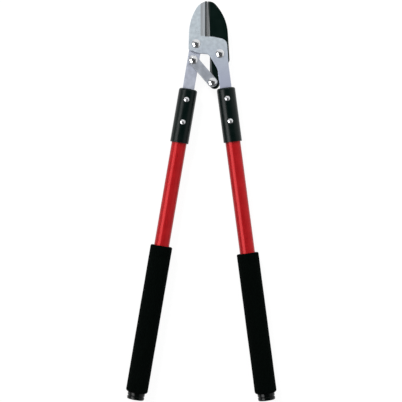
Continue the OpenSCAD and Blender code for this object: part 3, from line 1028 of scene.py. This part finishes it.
@dataclass
class HeadPlan:
    """Flat layout of the head, in millimetres about the handle pivot.

    A reach is measured down a handle from its foot in the head: to the crotch and
    the shoulder of the right tang, and to the tops of the sockets, which the tangs
    enter by tang_in. The right handle's foot lies right_shift beside the blade
    pivot. The outer layers start gap_half from the middle plane.
    """

    anvil_x: float = 18.3
    anvil_proud: float = 3.35
    jaw_len: float = 71.2
    jaw_side: float = 12.9
    jaw_foot: float = 10.3
    bridge_top: float = 12.0
    bridge_low: float = 17.4
    bridge_lug: float = 11.6
    crotch_reach: float = 24.0
    shoulder_reach: float = 20.0
    right_reach: float = 58.0
    right_shift: float = 2.2
    left_reach: float = 77.0
    tang_w: float = 19.628
    tang_in: float = 66.7
    rivets: int = 2
    rivet_first: float = 18.5
    rivet_pitch: float = 38.2
    hole_r: float = 3.25
    rivet_hole_r: float = 2.6
    gap_half: float = 2.5
    layer_t: float = 3.0
    blade_t: float = 4.0

    def __post_init__(self) -> None:
        """Takes the pivots and the handles' directions from the frame."""
        self.origin = joint_place("handle_hinge")
        self.down = {side: np.array(grip_mount(side)["axis"])[:2] for side in Side}
        self.blade_pivot = self.flat(joint_place("blade_hinge"))
        self.upper_link = self.flat(joint_place("link_hinge"))
        self.lower_link = self.flat(node_middle("lower_link_nut"))
        self.plate_x = self.anvil_x - self.anvil_proud
        self.outer = (self.gap_half, self.gap_half + self.layer_t)
        self.inner = (-self.blade_t / 2, self.blade_t / 2)

    def flat(self, place: Array) -> Array:
        """Frame place in metres as flat millimetres about the handle pivot."""
        return (place - self.origin)[:2] / MM

    def in_frame(self, shell: Shell, layer: Layer = Layer.FRONT) -> Shell:
        """Moves a shell into the frame, mirrored to the back layer if asked.

        Args:
            shell: Shell in millimetres about the handle pivot.
            layer: Layer that it goes to.

        Returns:
            The shell in metres, with its faces still pointing outwards.
        """
        points = self.origin + shell.points * (1, 1, layer.value) * MM
        winding = slice(None, None, layer.value)
        return Shell(points, shell.quads[:, winding], shell.triangles[:, winding], shell.rim)

    def layered(self, shell: Shell) -> dict[str, Shell]:
        """A shell in the front layer and its mirror in the back one, by the layers' names."""
        return {layer.name.lower(): self.in_frame(shell, layer) for layer in Layer}

    def on_handle(self, side: Side, along: float | Array, across: float) -> Array:
        """Place measured down a handle and across it, to the right of it.

        Args:
            side: The handle.
            along: Distance down the handle from its foot in the head, or a column of them.
            across: Distance across it.

        Returns:
            x and y in flat millimetres.
        """
        down = self.down[side]
        foot = np.zeros(2) if side is Side.LEFT else self.blade_pivot + (self.right_shift, 0)
        return foot + along * down + across * np.array([-down[1], down[0]])

    def rivet_holes(self, side: Side) -> Array:
        """Holes of a tang's rivets.

        Args:
            side: The handle.

        Returns:
            Rows of x, y and radius.
        """
        reach = self.left_reach if side is Side.LEFT else self.right_reach
        along = reach + self.rivet_first + self.rivet_pitch * np.arange(self.rivets)
        return lifted(self.on_handle(side, along[:, None], 0), self.rivet_hole_r)


@dataclass
class JawFrame:
    """The two jaw plates with the anvil and the hardware of the fixed pivots, in millimetres.

    The corners run from the jaw's foot under the bridge to the tang, and back over
    the bridge to the tip and the jaw's back. anvil_rivet is x, y and radius, and
    the handle shade is the stretch along the tool over which the plating is painted
    darker towards the handles, as painted shade.
    """

    plan: HeadPlan
    roll: float = 0.7
    band_w: float = 7.5
    band_slope: float = 4.0
    band_drop: float = 0.9
    band_lift: float = 1.0
    anvil_rivet: Triple = (2.54, 23.5, 3.8)
    # Stretch of the painted shade towards the handles, in millimetres along Y
    haze: Pair = (-70.0, 20.0)
    foot: Corner = Corner(-1.0, -1.0, 6.0)
    belly: Corner = Corner(0.2, -0.91, 40.0)
    chin: Corner = Corner(1.13, -1.0, 4.0)
    crotch_r: float = 20.0
    shoulder_r: float = 60.0
    lug: Corner = Corner(1.0, 0.55, 12.0)
    crest: Corner = Corner(0.55, 0.99, 40.0)
    tip: Corner = Corner(1.0, 0.996, 0.8)
    nose: Corner = Corner(0.3, 0.929, 27.0)
    back: Corner = Corner(-0.87, 0.56, 84.0)
    sharp_r: float = 0.8
    crease_share: float = 0.75
    crease_points: int = 5
    crease_foot_points: int = 6

    def outline(self) -> Array:
        """Jaw, bridge and right tang in one rounded outline.

        Returns:
            Rows of x and y, anticlockwise.
        """
        p = self.plan
        half, end = p.tang_w / 2, p.right_reach + p.tang_in
        lug_x = p.blade_pivot[0] + p.bridge_lug
        return corner_arcs(np.array([
            self.foot.at(p.jaw_side, p.jaw_foot),
            self.belly.at(p.anvil_x, p.bridge_low),
            self.chin.at(p.anvil_x, p.bridge_low),
            (*p.on_handle(Side.RIGHT, p.crotch_reach, -half), self.crotch_r),
            (*p.on_handle(Side.RIGHT, end, -half), self.sharp_r),
            (*p.on_handle(Side.RIGHT, end, half), self.sharp_r),
            (*p.on_handle(Side.RIGHT, p.shoulder_reach, half), self.shoulder_r),
            self.lug.at(lug_x, p.bridge_top),
            self.crest.at(lug_x, p.bridge_top),
            (p.plate_x, p.bridge_top, self.sharp_r),
            self.tip.at(p.plate_x, p.jaw_len),
            self.nose.at(p.plate_x, p.jaw_len),
            self.back.at(p.jaw_side, p.jaw_len),
        ]))

    def banded(self, points: Array) -> Array:
        """Lowers the outer face beside the anvil edge, above the bridge.

        The drop grows in proportion to the distance past the band's inner line
        up to the end of the slope, and fades in over the band's lower end. The
        inner face stays where it is.

        Args:
            points: Points of the front plate.

        Returns:
            The moved points.
        """
        p = self.plan
        past = np.clip((points[:, 0] - p.plate_x + self.band_w) / self.band_slope, 0, 1)
        start = np.clip((points[:, 1] - p.bridge_top) / self.band_lift, 0, 1)
        outer = np.clip((points[:, 2] - p.gap_half) / p.layer_t, 0, 1)
        moved = points.copy()
        moved[:, 2] -= self.band_drop * past * start * outer
        return moved

    def plate(self) -> Shell:
        """Front jaw plate, creased along the band's foot and both ends of its slope.

        Returns:
            The plate, in millimetres about the handle pivot.
        """
        p = self.plan
        brink = p.plate_x - self.band_w
        floor = brink + self.band_slope
        outline, brink_end = crossed(self.outline(), brink, p.bridge_top)
        outline, floor_end = crossed(outline, floor, p.bridge_top)
        holes = np.vstack([(0, 0, p.hole_r), (*p.blade_pivot, p.hole_r), self.anvil_rivet,
                           p.rivet_holes(Side.RIGHT)])
        foot_x = np.linspace(p.plate_x - 2 * self.roll, brink, self.crease_foot_points)
        top = self.crease_share * p.jaw_len
        heights = np.linspace(p.bridge_top + self.band_lift, top, self.crease_points)
        creases = (np.vstack([paired(foot_x, p.bridge_top), paired(brink, heights), brink_end]),
                   np.vstack([paired(floor, heights), floor_end]))
        return Stamping(outline, holes, *p.outer, self.roll, creases).shell(self.banded)

    def finish(self) -> JawFinish:
        """Plating of the plates, with the places of the band and the painted handle shade in the frame.

        Returns:
            The finish.
        """
        x, y = self.plan.origin[:2]
        end = x + self.plan.plate_x * MM
        # Ends of the painted shade towards the handles, in the frame
        haze_low, haze_top = y + np.array(self.haze) * MM
        return JawFinish(
            name="satin_jaw_plating", dark=(182, 192, 200), light=(201, 211, 218), rough=(0.42, 0.56),
            grain=Grain.BLASTED, grain_size=0.0005, depth=0.00002, metallic=0.45, mottle_size=0.005,
            # Edge tone darker than the plating: painted shade on the rolled edges
            rubbed=(168, 176, 184), brink=end - self.band_w * MM,
            floor=end - (self.band_w - self.band_slope) * MM, end=end,
            low=y + self.plan.bridge_top * MM, haze_top=haze_top, haze_low=haze_low)

    def build(self, shop: FinishingShop) -> None:
        """Makes both plates and dresses the CAD nodes of the jaw frame.

        Args:
            shop: Fits the pieces.
        """
        for name, plate in self.plan.layered(self.plate()).items():
            shop.install(plate, f"{name}_jaw_stamping", f"{name}_jaw_plate", Slot.JAW)
        shop.dress(Slot.ANVIL, "anvil")
        shop.dress(Slot.JAW, "anvil_rivet")
        shop.dress(Slot.TANG, "right_tang_spacer")
        shop.dress(Slot.HARDWARE, "frame_pivot_bolts", "frame_pivot_nuts")
        shop.dress(Slot.WASHER, "frame_pivot_washers")


@dataclass
class Blade:
    """The coated blade with its ground edge and its tail, in millimetres.

    bare_w is the bare strip's width at the heel. knee, shoulder, back and nose are
    the corners from the tail round to the tip.
    """

    plan: HeadPlan
    roll: float = 0.35
    width: float = 33.2
    cut_gap: float = 0.3
    bevel_w: float = 4.3
    bare_w: float = 5.0
    edge_t: float = 0.4
    heel_cover: float = 3.5
    heel_fade: float = 1.0
    heel_back: float = 16.3
    tail_w: float = 15.8
    tail_inset: float = 4.3
    tail_below: float = 11.3
    tail_r: float = 7.6
    eye_r: float = 8.0
    eye_hole_r: float = 4.85
    sharp_r: float = 0.8
    knee: Corner = Corner(1.0, 0.64, 20.0)
    shoulder: Corner = Corner(1.0, -0.74, 7.0)
    back: Corner = Corner(1.0, 0.614, 97.0)
    nose: Corner = Corner(0.3, 1.0, 20.0)
    outline_pitch: float = 1.0
    crease_share: float = 0.95
    crease_points: int = 6

    def __post_init__(self) -> None:
        """Works out the places of the edge and the heel."""
        self.edge_x = self.plan.anvil_x + self.cut_gap
        self.heel_y = self.plan.bridge_top - self.heel_cover

    def outline(self) -> Array:
        """Curved back, straight edge and tail in one rounded outline.

        Returns:
            Rows of x and y, anticlockwise.
        """
        p = self.plan
        tail_x, tail_y = p.lower_link - (self.tail_inset, self.tail_below)
        corners = [
            (self.edge_x, p.jaw_len, self.sharp_r),
            (self.edge_x, self.heel_y, self.sharp_r),
            (tail_x, self.heel_y - (tail_x - self.edge_x), self.tail_r),
            (tail_x, tail_y, self.tail_r),
            (tail_x + self.tail_w, tail_y, self.tail_r),
            self.knee.at(self.tail_w, self.tail_below, (tail_x, p.lower_link[1])),
            self.shoulder.at(self.heel_back, self.heel_back, p.blade_pivot),
            self.back.at(self.width, p.jaw_len, (self.edge_x, 0.0)),
            self.nose.at(self.width, p.jaw_len, (self.edge_x, 0.0)),
        ]
        rounded = refined(corner_arcs(np.array(corners)), self.outline_pitch)
        return bulged(rounded, p.lower_link, self.eye_r)

    def ground(self, points: Array) -> Array:
        """Thins the blade towards its edge.

        The half thickness grows in proportion to the distance from the edge, up
        to the full half thickness at the bevel's inner line. The thinning fades
        in just below the heel.

        Args:
            points: Points of the blade at full thickness.

        Returns:
            The moved points.
        """
        full, thin = self.plan.blade_t / 2, self.edge_t / 2
        share = np.clip((points[:, 0] - self.edge_x) / self.bevel_w, 0, 1)
        half = thin + (full - thin) * share
        above = np.clip((points[:, 1] - self.heel_y) / self.heel_fade + 1, 0, 1)
        moved = points.copy()
        moved[:, 2] *= 1 + above * (half / full - 1)
        return moved

    def finish(self) -> BladeFinish:
        """Coating of the blade, with the place of its edge in the frame.

        Returns:
            The finish.
        """
        x, y = self.plan.origin[:2]
        return BladeFinish(
            name="slick_blade_coating", dark=(2, 15, 12), light=(5, 20, 17), rough=(0.28, 0.36),
            grain=Grain.BLASTED, grain_size=0.0004, depth=0.00001, specular=0.15, rubbed=(34, 44, 41),
            edge=x + self.edge_x * MM, bevel=self.bare_w * MM, heel=y + self.plan.bridge_top * MM)

    def build(self, shop: FinishingShop) -> None:
        """Makes the blade, creased along the bevel's inner line.

        Args:
            shop: Fits the pieces.
        """
        p = self.plan
        line = self.edge_x + self.bevel_w
        outline, end = crossed(self.outline(), line, p.bridge_top)
        holes = np.array([(*p.blade_pivot, p.hole_r), (*p.lower_link, self.eye_hole_r)])
        heights = np.linspace(self.heel_y, self.crease_share * p.jaw_len, self.crease_points)
        crease = np.vstack([paired(line, heights), end])
        shell = Stamping(outline, holes, *p.inner, self.roll, (crease,)).shell(self.ground)
        shop.install(p.in_frame(shell), "coated_blade", "blade", Slot.BLADE)


@dataclass
class LinkPair:
    """The two waisted links and the hardware of the lower link pivot, in millimetres."""

    plan: HeadPlan
    roll: float = 0.6
    width: float = 16.5
    waist_share: float = 0.98
    eye_points: int = 60

    def outline(self) -> Array:
        """Two round eyes joined by a slightly narrower bar.

        Returns:
            Rows of x and y, anticlockwise.
        """
        p = self.plan
        span = p.lower_link - p.upper_link
        bearing = math.atan2(span[1], span[0])
        eyes = ((p.lower_link, bearing), (p.upper_link, bearing + math.pi))
        return np.concatenate([
            eye_arc(place, self.width / 2, away, self.waist_share, self.eye_points)
            for place, away in eyes])

    def build(self, shop: FinishingShop) -> None:
        """Makes both links and dresses their hardware.

        Args:
            shop: Fits the pieces.
        """
        p = self.plan
        holes = np.array([(*p.upper_link, p.hole_r), (*p.lower_link, p.hole_r)])
        shell = Stamping(self.outline(), holes, *p.outer, self.roll).shell()
        for name, link in p.layered(shell).items():
            shop.install(link, f"{name}_link_bar", f"{name}_link", Slot.LINK)
        shop.dress(Slot.HARDWARE, "lower_link_bolt", "lower_link_nut")
        shop.dress(Slot.WASHER, "lower_link_washers")


@dataclass
class LeftTang:
    """The single bar of the left handle and the hardware of the upper link pivot, in millimetres."""

    plan: HeadPlan
    roll: float = 0.5
    eye_share: float = 1.02
    eye_points: int = 80

    def outline(self) -> Array:
        """Round eye with a straight bar that ends in two square corners inside its socket.

        Returns:
            Rows of x and y, anticlockwise.
        """
        p = self.plan
        half, end = p.tang_w / 2, p.left_reach + p.tang_in
        up = math.atan2(*(-p.down[Side.LEFT])[::-1])
        eye = eye_arc(np.zeros(2), self.eye_share * half, up, 1 / self.eye_share, self.eye_points)
        foot = [p.on_handle(Side.LEFT, end, across) for across in (-half, half)]
        return np.concatenate([eye, foot])

    def build(self, shop: FinishingShop) -> None:
        """Makes the bar and dresses its hardware.

        Args:
            shop: Fits the pieces.
        """
        p = self.plan
        holes = np.vstack([(0, 0, p.hole_r), (*p.upper_link, p.hole_r), p.rivet_holes(Side.LEFT)])
        shell = Stamping(self.outline(), holes, *p.inner, self.roll).shell()
        shop.install(p.in_frame(shell), "left_tang_bar", "left_tang", Slot.TANG)
        shop.dress(Slot.HARDWARE, "upper_link_bolt", "upper_link_nut")
        shop.dress(Slot.WASHER, "upper_link_washers")


# Seeds of the random swell and pores of each grip
PORE_SEEDS = {Side.LEFT: 11, Side.RIGHT: 12}


@dataclass
class Handle:
    """One handle: socket, rivets, tube, foam grip and end cap, in millimetres.

    swell_waves has rows of folds round the grip and wave length along it.
    dish_shares are the radii of the dish's rim and floor as shares of the cap's.
    """

    side: Side
    grip_r: float = 18.55
    bore_r: float = 12.8
    end_round: float = 2.5
    foot_round: float = 4.5
    foot_steps: int = 10
    bore_points: int = 12
    grip_steps: int = 168
    row_pitch: float = 1.4
    swell: float = 0.1
    swell_waves: tuple[Pair, ...] = ((2, 21.0), (3, -13.0), (0, 9.0))
    pore: float = 0.05
    fill: float = 0.9
    cap_r: float = 14.5
    cap_len: float = 12.0
    cap_end: float = 3.0
    cap_round: float = 2.2
    cap_steps: int = 96
    bore_chamfer: float = 0.4
    mouth_chamfer: float = 0.3
    lip: float = 0.6
    groove_share: float = 0.42
    groove_w: float = 1.5
    groove_depth: float = 1.0
    groove_slope: float = 0.3
    dish: float = 0.5
    dish_shares: Pair = (0.62, 0.55)

    def __post_init__(self) -> None:
        """Takes the grip's place, direction and length from the frame."""
        mount = grip_mount(self.side)
        self.middle = np.array(mount["pos_m"])
        self.down = np.array(mount["axis"])
        self.across = np.array([-self.down[1], self.down[0], 0.0])
        half = mount["dims"]["length_mm"] / 2
        self.grip_top = -half - self.end_round
        self.grip_foot = half + self.foot_round

    def in_frame(self, points: Array) -> Array:
        """Frame metres of points given in millimetres across, above and down the handle."""
        axes = np.stack([self.across, (0, 0, 1), self.down])
        return self.middle + points @ axes * MM

    def sleeve(self) -> Shell:
        """Foam sleeve: a rounded profile carried round the tube.

        The radius is the profile's, less a slow swell of three waves in angle and
        length and a random pore depth at each point. Both fade from the outer skin
        to the bore, by the square of the share of the wall.

        Returns:
            The closed sleeve, in metres.
        """
        top, foot = self.grip_top + self.end_round, self.grip_foot - self.foot_round
        rows = int((foot - top) / self.row_pitch)
        profile = np.concatenate([
            paired(self.bore_r, np.linspace(self.grip_foot, self.grip_top, self.bore_points)),
            quarter((self.grip_r - self.end_round, top), self.end_round, Bend.OUTWARD),
            paired(self.grip_r, np.linspace(top, foot, rows)[1:-1]),
            quarter((self.grip_r - self.foot_round, foot), self.foot_round, Bend.INWARD, self.foot_steps),
        ])
        points, quads = turned(profile, self.grip_steps, closed=True)
        draw = np.random.default_rng(PORE_SEEDS[self.side])
        folds, length = np.array(self.swell_waves).T[..., None]
        phase = draw.uniform(0, TURN, folds.shape)
        angle = np.arctan2(points[:, 1], points[:, 0])
        wave = np.sin(folds * angle + phase + points[:, 2] / length).mean(axis=0)
        radius = np.hypot(points[:, 0], points[:, 1])
        skin = np.clip((radius - self.bore_r) / (self.grip_r - self.bore_r), 0, 1) ** 2
        depth = self.swell * (wave - 1) - self.pore * draw.random(len(points))
        points[:, :2] *= (1 + skin * depth / radius)[:, None]
        return Shell(self.in_frame(points), quads, np.zeros((0, 3), int))

    def cap(self) -> Shell:
        """Vinyl cap: a lip, a ring groove and a dished end in one profile.

        The profile runs from the bore over the lip and the groove to the rounded
        end and in to the dish. Fans of triangles close the bore and the dish.

        Returns:
            The closed cap, in metres.
        """
        start, foot = self.grip_foot, self.grip_foot + self.cap_len
        bore, dish = foot - self.cap_end, foot - self.dish
        groove = start + self.groove_share * self.cap_len
        groove_floor = groove + np.array([self.groove_slope, self.groove_w - self.groove_slope])
        lip_r = self.cap_r - self.lip
        profile = np.concatenate([
            [(self.bore_r - self.bore_chamfer, bore), (self.bore_r, bore - self.bore_chamfer)],
            [(self.bore_r, start + self.mouth_chamfer), (self.bore_r + self.mouth_chamfer, start)],
            quarter((lip_r, start + self.lip), self.lip, Bend.OUTWARD),
            quarter((lip_r, groove - self.lip), self.lip, Bend.INWARD),
            paired(self.cap_r - self.groove_depth, groove_floor),
            quarter((lip_r, groove + self.groove_w + self.lip), self.lip, Bend.OUTWARD),
            quarter((self.cap_r - self.cap_round, foot - self.cap_round), self.cap_round, Bend.INWARD),
            paired(self.cap_r * np.array(self.dish_shares), (foot, dish)),
        ])
        points, quads = turned(profile, self.cap_steps)
        first = np.arange(self.cap_steps)
        last = len(points) - self.cap_steps + first
        fans = np.concatenate([fan(first, len(points))[:, ::-1], fan(last, len(points) + 1)])
        points = np.concatenate([points, [(0, 0, bore), (0, 0, dish)]])
        return Shell(self.in_frame(points), quads, fans)

    def build(self, shop: FinishingShop) -> None:
        """Makes the grip and the cap, and dresses the CAD nodes of the handle.

        Args:
            shop: Fits the pieces.
        """
        name = self.side.value
        sleeve = shop.install(self.sleeve(), f"{name}_foam_sleeve", f"{name}_grip", Slot.FOAM)
        shop.install(self.cap(), f"{name}_vinyl_cap", f"{name}_end_cap", Slot.CAP)
        shop.dress(Slot.SOCKET, f"{name}_socket")
        shop.dress(Slot.RIVET, f"{name}_socket_rivets")
        shop.dress(Slot.TUBE, f"{name}_tube")


# Studio


@dataclass(frozen=True)
class Lamp:
    """A large soft light that faces the tool and is hidden from one kind of ray."""

    name: str
    place: Triple
    size: Pair
    power: float
    hidden: Ray

    def hang(self) -> None:
        """Puts the light into the scene."""
        data = bpy.data.lights.new(self.name, "AREA")
        data.shape = "RECTANGLE"
        data.size, data.size_y = self.size
        data.energy = self.power
        lamp = placed(self.name, data)
        lamp.location = self.place
        lamp.rotation_euler = (-Vector(self.place)).to_track_quat("-Z", "Y").to_euler()
        lamp.visible_camera = False
        setattr(lamp, self.hidden.value, False)


@dataclass(frozen=True)
class Bank:
    """A bright part of the sky that rises from start to end towards a bearing in degrees from X."""

    bearing: float
    start: float
    end: float
    bright: float


@dataclass
class Studio:
    """White floor, soft light and a camera straight above, in metres and watts.

    The key at the upper left casts the shadows, the strip on the left only
    shines in glossy surfaces, and the fill on the right softens the shadows.
    The view is span wide at middle_z, the height of the tool's middle, and the
    camera's sensor is in millimetres.
    """

    span: float = 0.6754
    distance: float = 3.0
    sensor: float = 36.0
    centre: Pair = (-0.0005, 0.0005)
    middle_z: float = 0.01855
    clip_end: float = 100.0
    floor_half: float = 30.0
    floor_z: float = -0.0004
    floor_tone: float = 0.8
    shadow_tone: float = 0.1
    floor_glow: float = 0.93
    horizon: float = 0.3
    ceiling: float = 0.05
    sky_span: Pair = (0.05, 0.75)
    banks: tuple[Bank, ...] = (
        Bank(75.0, 0.2, 0.6, 1.0),
        Bank(195.0, 0.3, 0.8, 0.35),
        Bank(-5.0, 0.6, 0.85, 1.0),
    )
    lamps: tuple[Lamp, ...] = (
        Lamp("key", (-1.2, 2.2, 2.24), (0.8, 0.8), 94.0, hidden=Ray.GLOSSY),
        Lamp("strip", (-1.42, -0.45, 1.35), (2.4, 1.2), 42.0, hidden=Ray.DIFFUSE),
        Lamp("fill", (1.1, 0.15, 2.2), (2.5, 2.5), 25.5, hidden=Ray.GLOSSY),
    )

    def floor(self) -> None:
        """Lays the floor: white to the camera and to reflections, with the shadow kept."""
        half = self.floor_half
        mesh = bpy.data.meshes.new("floor")
        corners = [(x * half, y * half, self.floor_z) for x, y in ((-1, -1), (1, -1), (1, 1), (-1, 1))]
        mesh.from_pydata(corners, [], [(0, 1, 2, 3)])
        material = bpy.data.materials.new("pale_floor")
        graph = Graph(material, "OutputMaterial")
        rays = graph.node("LightPath").outputs
        shown = [rays[name] for name in ("Is Camera Ray", "Is Glossy Ray", "Is Transmission Ray")]
        seen = graph.combined(Operation.MAXIMUM, *shown)
        plain, shadowed = (graph.node("BsdfDiffuse", {"Color": (tone, tone, tone, 1)}).outputs[0]
                           for tone in (self.floor_tone, self.shadow_tone))
        glow = graph.node("Emission", {"Strength": self.floor_glow}).outputs[0]
        lit = graph.node("AddShader", {0: shadowed, 1: glow}).outputs[0]
        graph.put(graph.node("MixShader", {0: seen, 1: plain, 2: lit}).outputs[0], graph.surface)
        mesh.materials.append(material)
        placed("floor", mesh)

    def sky(self) -> None:
        """Lights the world: dim at the horizon, darker overhead, with bright banks at some bearings."""
        world = bpy.data.worlds.new("studio")
        bpy.context.scene.world = world
        graph = Graph(world, "OutputWorld")
        view = graph.node("TexCoord").outputs["Generated"]
        strength = graph.span(graph.axes(view)[2], *self.sky_span, self.horizon, self.ceiling)
        for bank in self.banks:
            towards = graph.axes(graph.rotated(view, -bank.bearing))[0]
            glow = graph.span(towards, bank.start, bank.end, 0.0, bank.bright)
            strength = graph.combined(Operation.MAXIMUM, strength, glow)
        graph.put(graph.node("Background", {"Strength": strength}).outputs[0], graph.surface)

    def camera(self) -> None:
        """Sets the camera above the middle of the tool, with its top towards the jaws."""
        lens = bpy.data.cameras.new("camera")
        lens.sensor_width = self.sensor
        lens.lens = self.sensor * (self.distance - self.middle_z) / self.span
        lens.clip_end = self.clip_end
        camera = placed("camera", lens)
        camera.location = (*self.centre, self.distance)
        bpy.context.scene.camera = camera

    def build(self) -> None:
        """Sets the whole studio."""
        bpy.context.scene.view_settings.view_transform = "Standard"
        self.floor()
        self.sky()
        for lamp in self.lamps:
            lamp.hang()
        self.camera()
        log.info("studio set")


def main() -> None:
    """Builds the tool and its studio."""
    logging.basicConfig(level=logging.INFO, format="%(message)s")
    plan = HeadPlan()
    jaws, blade = JawFrame(plan), Blade(plan)
    shop = FinishingShop({Slot.JAW: jaws.finish(), Slot.BLADE: blade.finish(), **FINISHES})
    for part in (jaws, blade, LinkPair(plan), LeftTang(plan), *map(Handle, Side)):
        part.build(shop)
    Studio().build()


if __name__ == "__main__":
    main()
